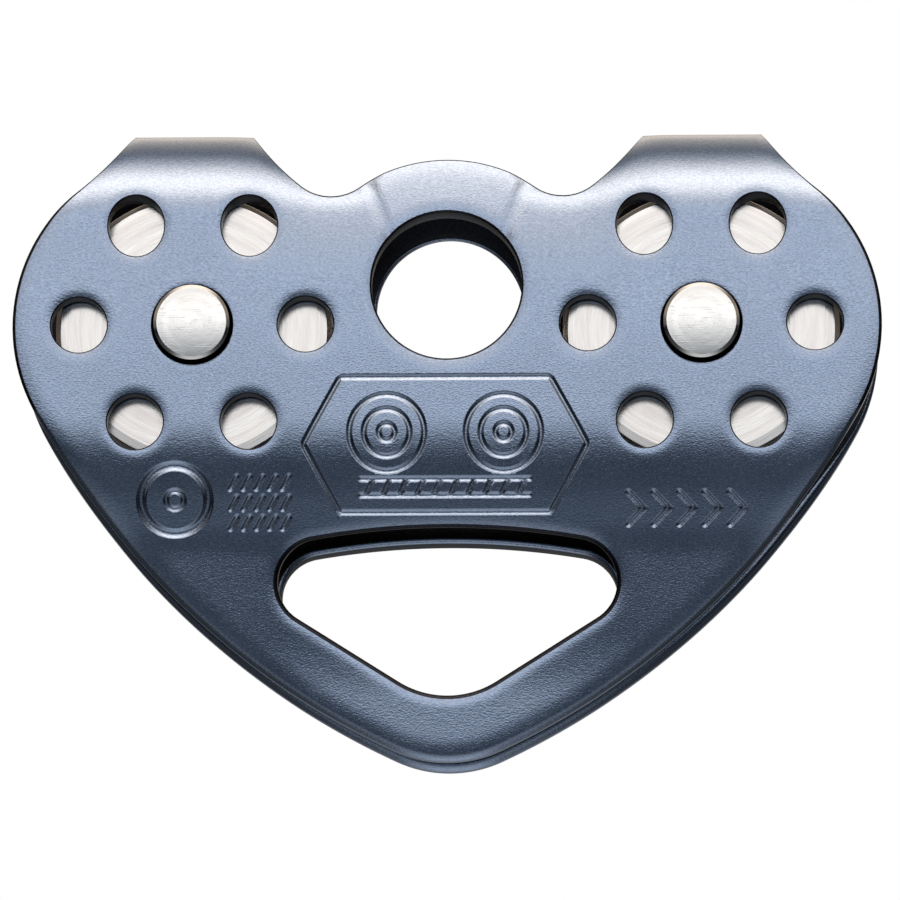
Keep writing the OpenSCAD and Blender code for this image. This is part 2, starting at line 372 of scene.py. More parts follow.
def developed(points):
    """Front view points of the outer face moved to the flat sheet they are cut from."""
    flat = np.array(points, float)
    stations = 0
    for weight, (s, _, rise, slope) in zip(section_weights(flat[:, 0]), SECTIONS):
        outer_height = rise - THICKNESS / 2 * np.sin(slope)
        stations = stations + weight * np.interp(flat[:, 1], outer_height, s)
    flat[:, 1] = stations
    return flat


def bent(points, offset):
    """Points of the flat sheet moved to the bent back plate, offset outward from its mid-surface."""
    y = z = 0
    for weight, (s, out, rise, slope) in zip(section_weights(points[:, 0]), SECTIONS):
        shift, height, tilt = [np.interp(points[:, 1], s, row) for row in (out, rise, slope)]
        y = y + weight * (shift + offset * np.cos(tilt))
        z = z + weight * (height - offset * np.sin(tilt))
    return np.stack([points[:, 0], y, z], axis=1)


# ---------------------------------------------------------------- pressed marks
# A mark is a chain of points, the full width of its groove, its depth and the width of its walls.

LINE_GROOVE = (0.8, 0.22, 0.36)
EMBLEM_CENTRE = (-0.2, -21.0)
EMBLEM_SIZE = (37.0, 17.4)
EMBLEM_SHOULDER = 0.37
WHEEL_SPREAD = 7.6
WHEEL_RISE = 1.5
WHEEL_RADII = (4.9, 3.0, 1.1)
ROPE_HALF_LENGTH = 11.0
ROPE_TOP = -4.4
ROPE_FOOT = -6.5
STRAND_COUNT = 10
STRAND_START = 10.4
STRAND_PITCH = 2.2
STRAND_LEAN = 1.1
ROUNDEL_CENTRE = (-35.4, -28.0)
ROUNDEL_RADIUS = 4.4
ROUNDEL_GROOVE = (1.3, 0.3, 0.4)
DIMPLE_RADIUS = 1.2
STROKE_CORNER = (-28.2, -25.8)
STROKE_ROWS = 3
STROKE_COLUMNS = 5
STROKE_ROW_GAP = 2.6
STROKE_PITCH = 1.7
STROKE_LEAN = 0.9
STROKE_HALF_HEIGHT = 0.8
CREASE_PATH = [(7.6, 6.6), (8.6, 9.4), (9.9, 12.6)]
CREASE_GROOVE = (2.6, 0.16, 1.25)
CHEVRON_COUNT = 5
CHEVRON_START = 24.6
CHEVRON_PITCH = 3.3
CHEVRON_REACH = 1.0
CHEVRON_LEVELS = (-27.2, -29.3, -31.4)
CHEVRON_GROOVE = (0.9, 0.22, 0.36)
MARK_STEP = 0.42
MARK_SHOULDER = 0.12
MARK_END_SPACING = 0.25


def straight(start, end):
    """A straight chain of points."""
    return np.array([start, end], float)


def hexagon(centre, width, height):
    """Closed chain of a long hexagon with pointed ends."""
    x, z = centre
    upper = [(-0.5, 0), (-EMBLEM_SHOULDER, 0.5), (EMBLEM_SHOULDER, 0.5), (0.5, 0)]
    lower = [(EMBLEM_SHOULDER, -0.5), (-EMBLEM_SHOULDER, -0.5), (-0.5, 0)]
    return np.array([(x + width * across, z + height * up) for across, up in upper + lower])


def ring(centre, radius):
    """Closed circular chain."""
    return np.array(arc(np.array(centre), radius, 0, 360, 0.5))


def emblem_marks():
    """A long hexagon with a plain diagram in it: two wheels on a laid rope."""
    x, z = EMBLEM_CENTRE
    chains = [hexagon(EMBLEM_CENTRE, *EMBLEM_SIZE)]
    for side in (-1, 1):
        wheel = (x + side * WHEEL_SPREAD, z + WHEEL_RISE)
        chains += [ring(wheel, radius) for radius in WHEEL_RADII]
    for level in (ROPE_TOP, ROPE_FOOT):
        chains.append(straight((x - ROPE_HALF_LENGTH, z + level), (x + ROPE_HALF_LENGTH, z + level)))
    for i in range(STRAND_COUNT):
        left = x - STRAND_START + STRAND_PITCH * i
        chains.append(straight((left, z + ROPE_FOOT), (left + STRAND_LEAN, z + ROPE_TOP)))
    return [(chain, *LINE_GROOVE) for chain in chains]


def lobe_marks():
    """A ring around a dimple, and three rows of slanted strokes beside it."""
    marks = [(ring(ROUNDEL_CENTRE, ROUNDEL_RADIUS), *ROUNDEL_GROOVE)]
    marks.append((ring(ROUNDEL_CENTRE, DIMPLE_RADIUS), *LINE_GROOVE))
    for row in range(STROKE_ROWS):
        z = STROKE_CORNER[1] - STROKE_ROW_GAP * row
        for column in range(STROKE_COLUMNS):
            x = STROKE_CORNER[0] + STROKE_PITCH * column
            foot, top = (x, z - STROKE_HALF_HEIGHT), (x + STROKE_LEAN, z + STROKE_HALF_HEIGHT)
            marks.append((straight(foot, top), *LINE_GROOVE))
    return marks


def chevron_marks():
    """A row of plain chevrons."""
    marks = []
    for i in range(CHEVRON_COUNT):
        x = CHEVRON_START + CHEVRON_PITCH * i
        reaches = (-CHEVRON_REACH, CHEVRON_REACH, -CHEVRON_REACH)
        chain = np.array([(x + reach, level) for reach, level in zip(reaches, CHEVRON_LEVELS)])
        marks.append((chain, *CHEVRON_GROOVE))
    return marks


def crease_marks():
    """Soft creases where the crown bends in beside the top hole."""
    return [(np.array(CREASE_PATH) * [side, 1], *CREASE_GROOVE) for side in (-1, 1)]


def mark_points(marks):
    """Extra points that carry the walls and floors of the marks."""
    points = []
    for chain, width, _, wall in marks:
        half = width / 2
        open_ended = not np.allclose(chain[0], chain[-1])
        for start, end in zip(chain[:-1], chain[1:]):
            length = np.linalg.norm(end - start)
            along = (end - start) / length
            side = np.array([-along[1], along[0]])
            steps = max(1, round(length / MARK_STEP))
            for i in range(steps):
                spot = start + (end - start) * (i + 0.5) / steps
                for reach in (0, half - wall, half - wall / 2, half, half + MARK_SHOULDER):
                    points += [spot + side * reach, spot - side * reach]
        if open_ended:
            for end, back in ((chain[0], chain[1]), (chain[-1], chain[-2])):
                out = bearing(end - back)
                for reach in (half - wall / 2, half, half + MARK_SHOULDER):
                    points += arc(end, reach, out - 90, out + 90, MARK_END_SPACING)
    return np.array(points)


def mark_depth(points, marks):
    """How deep each point lies below the plain surface."""
    depth = np.zeros(len(points))
    for chain, width, deep, wall in marks:
        low, high = chain.min(0) - width, chain.max(0) + width
        near = np.nonzero(np.all((points > low) & (points < high), axis=1))[0]
        away = distance_to_path(points[near], chain)
        depth[near] = np.maximum(depth[near], deep * (1 - smooth_step(width / 2 - wall, width / 2, away)))
    return depth


# ---------------------------------------------------------------- plate mesh

OUTER_SPACING = 0.8
INNER_SPACING = 1.6
POINT_GAP = 0.24
MARK_POINT_GAP = 0.11
MARK_CLEARANCE = 0.45
MERGE_DISTANCE = 1e-7


def thinned(points, least):
    """Points with any that fall too close to an earlier one left out."""
    taken = {}
    kept = []
    for x, z in points:
        cell = (math.floor(x / least), math.floor(z / least))
        near = [taken.get((cell[0] + i, cell[1] + j)) for i in (-1, 0, 1) for j in (-1, 0, 1)]
        if all(q is None or math.hypot(q[0] - x, q[1] - z) >= least for q in near):
            taken[cell] = (x, z)
            kept.append((x, z))
    return np.array(kept).reshape(-1, 2)


def hex_grid(low, high, spacing):
    """Points of a triangular grid over a rectangle."""
    rows = []
    row_gap = spacing * math.sqrt(3) / 2
    for j, z in enumerate(np.arange(low[1], high[1], row_gap)):
        xs = np.arange(low[0] + (j % 2) * spacing / 2, high[0], spacing)
        rows.append(np.stack([xs, np.full(len(xs), z)], axis=1))
    return np.concatenate(rows)


def edge_fall(points, edges):
    """Drop of the face near its edges: a crisp arris, then a gentle roll-over."""
    drop = np.zeros(len(points))
    for edge in edges:
        reach = edge.arris + edge.roll
        low, high = edge.loop.min(0) - reach, edge.loop.max(0) + reach
        near = np.nonzero(np.all((points > low) & (points < high), axis=1))[0]
        away = distance_to_path(points[near], closed(edge.loop))
        radius = arris_radius(edge, points[near], edges)
        short = np.clip(radius - away, 0, radius)
        left = np.clip(1 - (away - radius) / edge.roll, 0, 1)
        drop[near] = np.maximum(drop[near], radius - np.sqrt(radius**2 - short**2) + edge.fall * left**2)
    return drop


def clear_of_edges(points, edges, gap):
    """True for each point of the metal that lies beyond every arris by a gap."""
    result = in_metal(points, edges)
    for edge in edges:
        near = np.nonzero(result)[0]
        away = distance_to_path(points[near], closed(edge.loop))
        result[near] = away > arris_radius(edge, points[near], edges) + gap
    return result


def face_sheet(edges, spacing, marks):
    """One face of the plate: points, drop below the face, triangles and the rings they join."""
    steps = np.radians(np.linspace(0, 90, ARRIS_STEPS))
    radii = [arris_radius(edge, edge.loop, edges) for edge in edges]
    rings = [inset(edge.loop, r * (1 - math.cos(a))) for edge, r in zip(edges, radii) for a in steps]
    runs = []
    first = 0
    for chain in rings:
        count = len(chain)
        runs += [(first + i, first + (i + 1) % count) for i in range(count)]
        first += count
    extra = [inset(edge.loop, r + reach) for reach in ROLL_RINGS for edge, r in zip(edges, radii)]
    extra.append(hex_grid(edges[0].loop.min(0), edges[0].loop.max(0), spacing))
    extra = thinned(np.concatenate(extra), POINT_GAP)
    if marks:
        detail = thinned(mark_points(marks), MARK_POINT_GAP)
        extra = np.concatenate([detail, extra[far_from(extra, detail, MARK_CLEARANCE)]])
    extra = extra[clear_of_edges(extra, edges, 0.8 * ROLL_RINGS[0])]
    points = np.concatenate(rings + [extra])
    drop = edge_fall(points, edges) + mark_depth(points, marks)
    found = delaunay_2d_cdt([Vector(p) for p in points], runs, [], 0, MERGE_DISTANCE)
    flat = np.array([tuple(v) for v in found[0]])
    source = np.array([origin[0] for origin in found[3]])
    triangles = np.array(found[2])
    triangles = triangles[in_metal(flat[triangles].mean(axis=1), edges)]
    ring_of = np.repeat(np.arange(len(rings)), [len(chain) for chain in rings])
    ring_of = np.concatenate([ring_of, np.full(len(extra), len(rings))])
    return flat, drop[source], triangles, ring_of[source[triangles]].max(axis=1)


def far_from(points, others, least):
    """True for each point with none of the others within a distance."""
    cells = {}
    for x, z in others:
        cells.setdefault((math.floor(x / least), math.floor(z / least)), []).append((x, z))
    result = np.ones(len(points), bool)
    for k, (x, z) in enumerate(points):
        cell = (math.floor(x / least), math.floor(z / least))
        for i in (-1, 0, 1):
            for j in (-1, 0, 1):
                for q in cells.get((cell[0] + i, cell[1] + j), ()):
                    if math.hypot(q[0] - x, q[1] - z) < least:
                        result[k] = False
    return result


def new_mesh_object(name, vertices, faces, *materials):
    """A smooth shaded mesh object from points in millimetres."""
    mesh = bpy.data.meshes.new(name)
    mesh.from_pydata((np.asarray(vertices) * MM).tolist(), [], [list(map(int, f)) for f in faces])
    mesh.polygons.foreach_set("use_smooth", [True] * len(mesh.polygons))
    for material in materials:
        mesh.materials.append(material)
    mesh.update()
    obj = bpy.data.objects.new(name, mesh)
    bpy.context.scene.collection.objects.link(obj)
    return obj


def wall(levels):
    """Quads between closed rows of vertex numbers, each row one step further into the plate."""
    faces = []
    for high, low in zip(levels, levels[1:]):
        for i in range(len(high)):
            j = (i + 1) % len(high)
            faces.append([high[j], high[i], low[i], low[j]])
    return faces


def plate_mesh(marks):
    """Vertices and faces of the back plate, and which of the faces take the painted shade material."""
    outer_edges, inner_edges = plate_edges(POCKET_RADIUS), plate_edges(AXLE_HOLE_RADIUS)
    outer_flat, outer_drop, outer_triangles, outer_ring = face_sheet(outer_edges, OUTER_SPACING, marks)
    inner_flat, inner_drop, inner_triangles, inner_ring = face_sheet(inner_edges, INNER_SPACING, [])
    parts = [bent(outer_flat, THICKNESS / 2 - outer_drop), bent(inner_flat, inner_drop - THICKNESS / 2)]
    shift = len(outer_flat)
    faces = outer_triangles.tolist() + (inner_triangles[:, ::-1] + shift).tolist()
    ring_count = ARRIS_STEPS * len(outer_edges)
    # Painted shade: the arrises of the outer face, except along the lower rim of the outline, and the
    # middle of the inner face take the near black material.
    low = outer_flat[outer_triangles].mean(axis=1)[:, 1] < LEAN_START
    lower_rim = (outer_ring < ARRIS_STEPS) & low
    in_painted_shade = ((outer_ring < ring_count) & ~lower_rim).tolist() + (inner_ring == ring_count).tolist()
    start = 0
    for outer_edge, inner_edge in zip(outer_edges, inner_edges):
        rim = start + np.arange(len(outer_edge.loop))
        levels = [rim, rim + shift]
        if not np.allclose(outer_edge.loop, inner_edge.loop):
            for loop in (outer_edge.loop, inner_edge.loop):
                levels.insert(-1, sum(map(len, parts)) + np.arange(len(loop)))
                parts.append(bent(loop, THICKNESS / 2 - POCKET_DEPTH))
        quads = wall(levels)
        faces += quads
        # Walls of the holes, the slot and the axle pockets are painted in shade; the wall of the outline
        # is not.
        in_painted_shade += [outer_edge is not outer_edges[0]] * len(quads)
        start += len(rim) * ARRIS_STEPS
    return np.concatenate(parts), faces, in_painted_shade


def side_plates(face_material, painted_shade_material):
    """Front plate, and the back one, which is the same part turned half round the Z axis."""
    marks = emblem_marks() + lobe_marks() + chevron_marks() + crease_marks()
    vertices, faces, in_painted_shade = plate_mesh(marks)
    flips = {"side_plate_front": [1, -1, 1], "side_plate_back": [-1, 1, 1]}
    for cad_node, flip in flips.items():
        name = cad_node.replace("side", "pressed")
        plate = new_mesh_object(name, vertices * flip, faces, face_material, painted_shade_material)
        # Faces in painted shade take the second, near black material.
        plate.data.polygons.foreach_set("material_index", [int(dark) for dark in in_painted_shade])
        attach(plate, "frame")
        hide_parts(cad_node)


# ---------------------------------------------------------------- turned parts

GROOVE_ROOT = 10.5
GROOVE_SECTION = 6.1
SHEAVE_CHAMFER = 0.6
SHEAVE_BEVEL = 1.1
BEVEL_DEPTH = 0.05
CHAMFER_DEPTH = 0.6
SLEEVE_RADIUS = SLEEVE_HIGH.x - AXLE_X
BORE_CLEARANCE = 0.05
BUSH_RADIUS = 7.0
BUSH_FLANGE = 0.8
BUSH_FLANGE_RADIUS = 8.5
BUSH_HALF_GAP = 0.5
WASHER = 0.8
HEAD_CHAMFER = 0.4
HEAD_CHAMFER_DEPTH = 0.26
HEAD_ARRIS = 0.04
HEAD_DOME = 0.15
DOME_STATIONS = (0, 0.2, 0.4, 0.6, 0.8, 0.9, 0.97)
TURN_STEPS = 160


def rounded(corners, radii, steps=4):
    """Closed chain of points around corners that each have a rounding radius."""
    chain = []
    count = len(corners)
    for i, (corner, radius) in enumerate(zip(corners, radii)):
        corner = np.array(corner, float)
        if radius == 0:
            chain.append(corner)
            continue
        before = np.array(corners[i - 1], float) - corner
        after = np.array(corners[(i + 1) % count], float) - corner
        reach = [np.linalg.norm(before), np.linalg.norm(after)]
        before /= reach[0]
        after /= reach[1]
        half = math.acos(np.clip(before @ after, -1, 1)) / 2
        tangent = radius / math.tan(half)
        middle = (before + after) / np.linalg.norm(before + after)
        centre = corner + middle * radius / math.sin(half)
        first = bearing(corner + before * tangent - centre)
        last = bearing(corner + after * tangent - centre)
        turn = (last - first + 180) % 360 - 180
        if reach[0] > 3 * tangent:
            chain.append(corner + before * (tangent + 0.6 * radius))
        chain += [centre + radius * heading(first + turn * k / steps) for k in range(steps + 1)]
        if reach[1] > 3 * tangent:
            chain.append(corner + after * (tangent + 0.6 * radius))
    return chain


def turned(name, chain, side, material, hollow=True):
    """A part turned around an axle line from a chain of (radius, y) points, anticlockwise."""
    vertices, faces, rings = [], [], []
    for radius, y in chain:
        first = len(vertices)
        if radius < 1e-6:
            vertices.append((0, y, 0))
            rings.append([first] * TURN_STEPS)
            continue
        for k in range(TURN_STEPS):
            around = heading(360 * k / TURN_STEPS) * radius
            vertices.append((around[0], y, around[1]))
        rings.append(list(range(first, first + TURN_STEPS)))
    following = rings[1:] + rings[:1] if hollow else rings[1:]
    for low, high in zip(rings, following):
        for k in range(TURN_STEPS):
            m = (k + 1) % TURN_STEPS
            corners = [low[k], low[m], high[m], high[k]]
            faces.append(list(dict.fromkeys(corners))[::-1])
    obj = new_mesh_object(name, vertices, faces, material)
    obj.location = (side * AXLE_X * MM, 0, AXLE_Z * MM)
    return obj


def sheave_chain():
    """Section of a wheel: rope groove, chamfered rims, turned faces and a counterbored hub."""
    half = SHEAVE_HALF
    lip = SHEAVE_RADIUS - SHEAVE_CHAMFER
    seat = GROOVE_ROOT + GROOVE_SECTION
    top = [
        (BUSH_RADIUS, 0), (BUSH_RADIUS, half - BUSH_FLANGE), (BUSH_FLANGE_RADIUS, half - BUSH_FLANGE),
        (BUSH_FLANGE_RADIUS, half), (lip - SHEAVE_BEVEL, half), (lip, half - BEVEL_DEPTH),
        (SHEAVE_RADIUS, half - BEVEL_DEPTH - CHAMFER_DEPTH), (SHEAVE_RADIUS, GROOVE_SECTION),
        (seat, GROOVE_SECTION),
    ]
    radii = [0, 0.1, 0.1, 0.15, 0.2, 0.15, 0.15, 0.2, 0]
    upper = rounded(top + [(GROOVE_ROOT, 0)], radii + [0])[:-1]
    groove = arc(np.array([seat, 0]), GROOVE_SECTION, 90, 180, 0.5)[1:]
    half_chain = upper + groove
    lower = [np.array([r, -y]) for r, y in reversed(half_chain[1:-1])]
    return half_chain + lower


def head_chain():
    """Section of an axle with a low domed, chamfered head at each end, from pole to pole."""
    disc = HEAD_RADIUS - HEAD_CHAMFER
    rim = HEAD_TOP - HEAD_DOME
    base = OUTER_FACE - POCKET_DEPTH
    sphere = (disc**2 + HEAD_DOME**2) / (2 * HEAD_DOME)
    crown = []
    for part in DOME_STATIONS:
        height = HEAD_TOP - sphere + math.sqrt(sphere**2 - (disc * part) ** 2)
        crown.append(np.array([disc * part, height]))
    corners = [crown[-1], (disc, rim), (HEAD_RADIUS, rim - HEAD_CHAMFER_DEPTH), (HEAD_RADIUS, base)]
    crown += rounded(corners, [0, HEAD_ARRIS, HEAD_ARRIS, 0])[1:]
    crown.append(np.array([AXLE_HOLE_RADIUS, base]))
    lower = [np.array([r, -y]) for r, y in reversed(crown)]
    return (crown + lower)[::-1]


def tube_chain(bore, radius, low, high, rounding):
    """Section of a plain tube with rounded arrises."""
    corners = [(bore, low), (radius, low), (radius, high), (bore, high)]
    return rounded(corners, [rounding] * 4)


def bush_chain(face):
    """Section of a flanged bush in the front (-1) or back (1) end of a hub."""
    bore = SLEEVE_RADIUS + BORE_CLEARANCE
    shoulder = SHEAVE_HALF - BUSH_FLANGE
    corners = [
        (bore, BUSH_HALF_GAP), (BUSH_RADIUS, BUSH_HALF_GAP), (BUSH_RADIUS, shoulder),
        (BUSH_FLANGE_RADIUS, shoulder), (BUSH_FLANGE_RADIUS, SHEAVE_HALF), (bore, SHEAVE_HALF),
    ]
    chain = rounded(corners, [0.1, 0.1, 0, 0.1, 0.15, 0.15])
    return chain if face > 0 else [np.array([r, -y]) for r, y in chain][::-1]


def washer_chain(face):
    """Section of a thrust washer against the front (-1) or back (1) plate."""
    bore = SLEEVE_RADIUS + BORE_CLEARANCE
    low, high = sorted((face * INNER_FACE, face * (INNER_FACE - WASHER)))
    return tube_chain(bore, BUSH_FLANGE_RADIUS, low, high, 0.12)


def place(piece, body, cad_node):
    """Let a piece stand for a CAD node."""
    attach(piece, body)
    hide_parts(cad_node)


def turned_parts(steel, aluminium, bronze):
    """Both axles with their wheels and bearings."""
    for side, word in ((-1, "left"), (1, "right")):
        wheel = word + "_wheel"
        head = turned("riveted_axle_" + word, head_chain(), side, steel, hollow=False)
        place(head, "frame", "axle_" + word)
        tube = tube_chain(AXLE_HOLE_RADIUS, SLEEVE_RADIUS, -INNER_FACE, INNER_FACE, 0.2)
        sleeve = turned("distance_tube_" + word, tube, side, steel)
        place(sleeve, "frame", "sleeve_" + word)
        grooved = turned("grooved_wheel_" + word, sheave_chain(), side, aluminium)
        place(grooved, wheel, "sheave_" + word)
        for face, end in ((-1, "front"), (1, "back")):
            bush = turned(f"flanged_bush_{word}_{end}", bush_chain(face), side, bronze)
            place(bush, wheel, f"bush_{word}_{end}")
            ring_washer = turned(f"thrust_washer_{word}_{end}", washer_chain(face), side, bronze)
            place(ring_washer, "frame", f"washer_{word}_{end}")


# ---------------------------------------------------------------- materials
# Colours are linear, noise scales are features per metre and heights are metres.

SATIN_BLUE = ((0.28, 0.355, 0.5), (0.41, 0.505, 0.68))
# Painted shade: a near black blue for the arrises, hole walls, axle pockets and inner faces of the plates,
# standing in for the shade that falls there.
PAINTED_SHADE_BLUE = ((0.02, 0.022, 0.03), (0.045, 0.048, 0.06))
STEEL_GREY = (0.95, 0.95, 0.95)
ALUMINIUM_GREY = (0.99, 0.95, 0.94)
BRONZE_BROWN = (0.72, 0.5, 0.27)
GRAIN_STRETCH = (0.55, 1, 1)
GRAIN_SCALE = 5200
GRAIN_HEIGHT = 0.000024
RIPPLE_SCALE = 900
RIPPLE_HEIGHT = 0.00002
CLOUD_SCALE = 120
SCRATCH_WAYS = ((1, 0.3, 0.04), (0.05, 0.3, 1))
SCRATCH_SCALE = 6500
SCRATCH_HEIGHT = 0.00001


def new_material(name, colour, roughness, metallic=1.0):
    """A material with a principled shader, and its node tree."""
    material = bpy.data.materials.new(name)
    material.use_nodes = True
    shader = material.node_tree.nodes["Principled BSDF"]
    shader.inputs["Base Color"].default_value = (*colour, 1)
    shader.inputs["Roughness"].default_value = roughness
    shader.inputs["Metallic"].default_value = metallic
    return material, material.node_tree, shader


def add_node(tree, kind, **values):
    """A node with named inputs or properties set."""
    made = tree.nodes.new("ShaderNode" + kind)
    for key, value in values.items():
        if key in made.inputs:
            made.inputs[key].default_value = value
        else:
            setattr(made, key, value)
    return made


def ramp(tree, source, stops, output=0):
    """Colour ramp from (position, grey or colour) pairs."""
    made = tree.nodes.new("ShaderNodeValToRGB")
    tree.links.new(source, made.inputs["Fac"])
    elements = made.color_ramp.elements
    while len(elements) < len(stops):
        elements.new(0.5)
    for element, (position, value) in zip(elements, stops):
        element.position = position
        colour = (value,) * 3 if isinstance(value, (int, float)) else value
        element.color = (*colour, 1)
    return made.outputs[output]


def scaled(tree, vector, factors):
    """The coordinates multiplied by one factor for each axis."""
    made = add_node(tree, "VectorMath", operation="MULTIPLY")
    made.inputs[1].default_value = factors
    tree.links.new(vector, made.inputs[0])
    return made.outputs["Vector"]


def noise(tree, vector, scale, detail=2.0, roughness=0.5):
    """Noise value at object coordinates, scale in features per metre."""
    made = add_node(tree, "TexNoise", Scale=scale, Detail=detail, Roughness=roughness)
    tree.links.new(vector, made.inputs["Vector"])
    return made.outputs["Fac"]


def bump(tree, height, distance, strength, under=None):
    """Bump node; distance is the height of a full step in metres."""
    made = add_node(tree, "Bump", Distance=distance, Strength=strength)
    tree.links.new(height, made.inputs["Height"])
    if under is not None:
        tree.links.new(under, made.inputs["Normal"])
    return made.outputs["Normal"]


def anodised(name, colours, roughness):
    """Satin anodising over blasted aluminium, with a fine peppery grain between two colours."""
    dark, light = colours
    material, tree, shader = new_material(name, light, roughness)
    place_in = tree.nodes.new("ShaderNodeTexCoord").outputs["Object"]
    grain = noise(tree, scaled(tree, place_in, GRAIN_STRETCH), GRAIN_SCALE, 2.0, 0.6)
    cloud = noise(tree, place_in, CLOUD_SCALE, 2.0)
    tree.links.new(ramp(tree, grain, [(0.3, dark), (0.7, light)]), shader.inputs["Base Color"])
    polish = ramp(tree, cloud, [(0.3, roughness * 0.9), (0.7, roughness * 1.1)])
    tree.links.new(polish, shader.inputs["Roughness"])
    fine = bump(tree, grain, GRAIN_HEIGHT, 0.9)
    wide = bump(tree, noise(tree, place_in, RIPPLE_SCALE, 2.0), RIPPLE_HEIGHT, 0.3, fine)
    tree.links.new(wide, shader.inputs["Normal"])
    return material


def scratches(tree, vector):
    """Thin straight scratches in two directions, as a height from 0 to 1."""
    found = []
    for way in SCRATCH_WAYS:
        lines = noise(tree, scaled(tree, vector, way), SCRATCH_SCALE, 3.0, 0.6)
        found.append(ramp(tree, lines, [(0.58, 0.0), (0.7, 1.0)]))
    both = add_node(tree, "Math", operation="MAXIMUM")
    tree.links.new(found[0], both.inputs[0])
    tree.links.new(found[1], both.inputs[1])
    return both.outputs[0]


def around_axis(tree, place_in, streak):
    """Coordinates that follow circles around the Y axis; a short streak makes long marks."""
    flat = scaled(tree, place_in, (1, 0, 1))
    radius = add_node(tree, "VectorMath", operation="LENGTH")
    tree.links.new(flat, radius.inputs[0])
    around = add_node(tree, "VectorMath", operation="NORMALIZE")
    tree.links.new(flat, around.inputs[0])
    turn = add_node(tree, "VectorMath", operation="SCALE")
    turn.inputs["Scale"].default_value = streak
    tree.links.new(around.outputs["Vector"], turn.inputs[0])
    apart = add_node(tree, "SeparateXYZ")
    tree.links.new(place_in, apart.inputs[0])
    across = add_node(tree, "Math", operation="ADD")
    tree.links.new(radius.outputs["Value"], across.inputs[0])
    tree.links.new(apart.outputs["Y"], across.inputs[1])
    spread = add_node(tree, "VectorMath", operation="MULTIPLY_ADD")
    spread.inputs[1].default_value = (0, 1, 0)
    tree.links.new(across.outputs[0], spread.inputs[0])
    tree.links.new(turn.outputs["Vector"], spread.inputs[2])
    return spread.outputs["Vector"]


def turned_metal(name, colour, roughness, groove_scale, streak, depth, scratched=False):
    """Bare metal with turning marks around its own Y axis, broken into streaks."""
    material, tree, shader = new_material(name, colour, roughness)
    place_in = tree.nodes.new("ShaderNodeTexCoord").outputs["Object"]
    circles = around_axis(tree, place_in, streak)
    grooves = noise(tree, circles, groove_scale, 3.0, 0.65)
    bands = noise(tree, circles, groove_scale / 6, 2.0)
    dark, light = [tuple(min(1, c * k) for c in colour) for k in (0.86, 1.05)]
    tree.links.new(ramp(tree, bands, [(0.3, dark), (0.7, light)]), shader.inputs["Base Color"])
    polish = ramp(tree, grooves, [(0.3, roughness * 0.85), (0.7, roughness * 1.2)])
    tree.links.new(polish, shader.inputs["Roughness"])
    surface = bump(tree, grooves, depth, 0.6)
    if scratched:
        surface = bump(tree, scratches(tree, place_in), SCRATCH_HEIGHT, 0.3, surface)
    tree.links.new(surface, shader.inputs["Normal"])
    return material


# ---------------------------------------------------------------- stage, light and camera

CAMERA_DISTANCE = 1.1
CAMERA_LENS = 338.5
CAMERA_RISE = 9.45
CAMERA_TURN = 1.46
CAMERA_AIM = (0.45, -21.95)
SENSOR_WIDTH = 36
CLIP_RANGE = (0.05, 20)
FLOOR_DROP = 0.4
FLOOR_REACH = 4.0
# Light around the rope axis: angle from the front horizon up over the top, level and warmth.
SKY_STOPS = [
    (-90, 0.66, 0), (-60, 0.54, 0), (-35, 0.4, 0), (-22, 0.22, -0.4), (-14, 0.09, -0.8), (-4, 0.06, -0.8),
    (-1, 0.09, -0.8), (3, 0.28, -0.4), (6, 0.5, -0.2), (9, 0.86, 0), (11, 1.33, 0.1), (13, 1.36, 0.1),
    (16, 1.0, 0.1), (20, 0.86, 0.3), (26, 1.08, 0.5), (32, 1.4, 0.7), (42, 2.1, 1), (50, 2.4, 1),
    (58, 2.25, 1), (70, 1.45, 0.9), (80, 0.8, 0.6), (90, 0.38, 0.2), (99, 0.25, 0.2), (110, 0.42, 0.8),
    (124, 0.66, 1.2), (140, 1.1, 1.2), (160, 0.5, 0.8), (180, 0.24, 0), (200, 0.24, 0), (270, 0.66, 0),
]
SKY_FIRST = -90
SKY_TINT = 0.2
SKY_STRENGTH = 3.0
SIDE_START = 0.12
SIDE_FULL = 0.65
SIDE_LEVEL = 0.1
BACKDROP = 1.0


def sky_colour(level, warmth):
    """Colour of the surroundings: redder where warm, bluer where cool."""
    return level * (1 + SKY_TINT * warmth), level, level * (1 - SKY_TINT * warmth)


def sky_around(tree, apart):
    """Colour of the surroundings by the angle around the rope axis."""
    forward = add_node(tree, "Math", operation="MULTIPLY")
    tree.links.new(apart.outputs["Y"], forward.inputs[0])
    forward.inputs[1].default_value = -1
    angle = add_node(tree, "Math", operation="ARCTAN2")
    tree.links.new(apart.outputs["Z"], angle.inputs[0])
    tree.links.new(forward.outputs[0], angle.inputs[1])
    first, last = math.radians(SKY_FIRST), math.radians(SKY_FIRST + 360)
    turned_on = add_node(tree, "Math", operation="WRAP")
    tree.links.new(angle.outputs[0], turned_on.inputs[0])
    turned_on.inputs[1].default_value = last
    turned_on.inputs[2].default_value = first
    share = add_node(tree, "MapRange")
    share.inputs["From Min"].default_value = first
    share.inputs["From Max"].default_value = last
    tree.links.new(turned_on.outputs[0], share.inputs["Value"])
    stops = []
    for degrees, level, warmth in SKY_STOPS:
        colour = tuple(part / SKY_STRENGTH for part in sky_colour(level, warmth))
        stops.append(((degrees - SKY_FIRST) / 360, colour))
    return ramp(tree, share.outputs["Result"], stops)


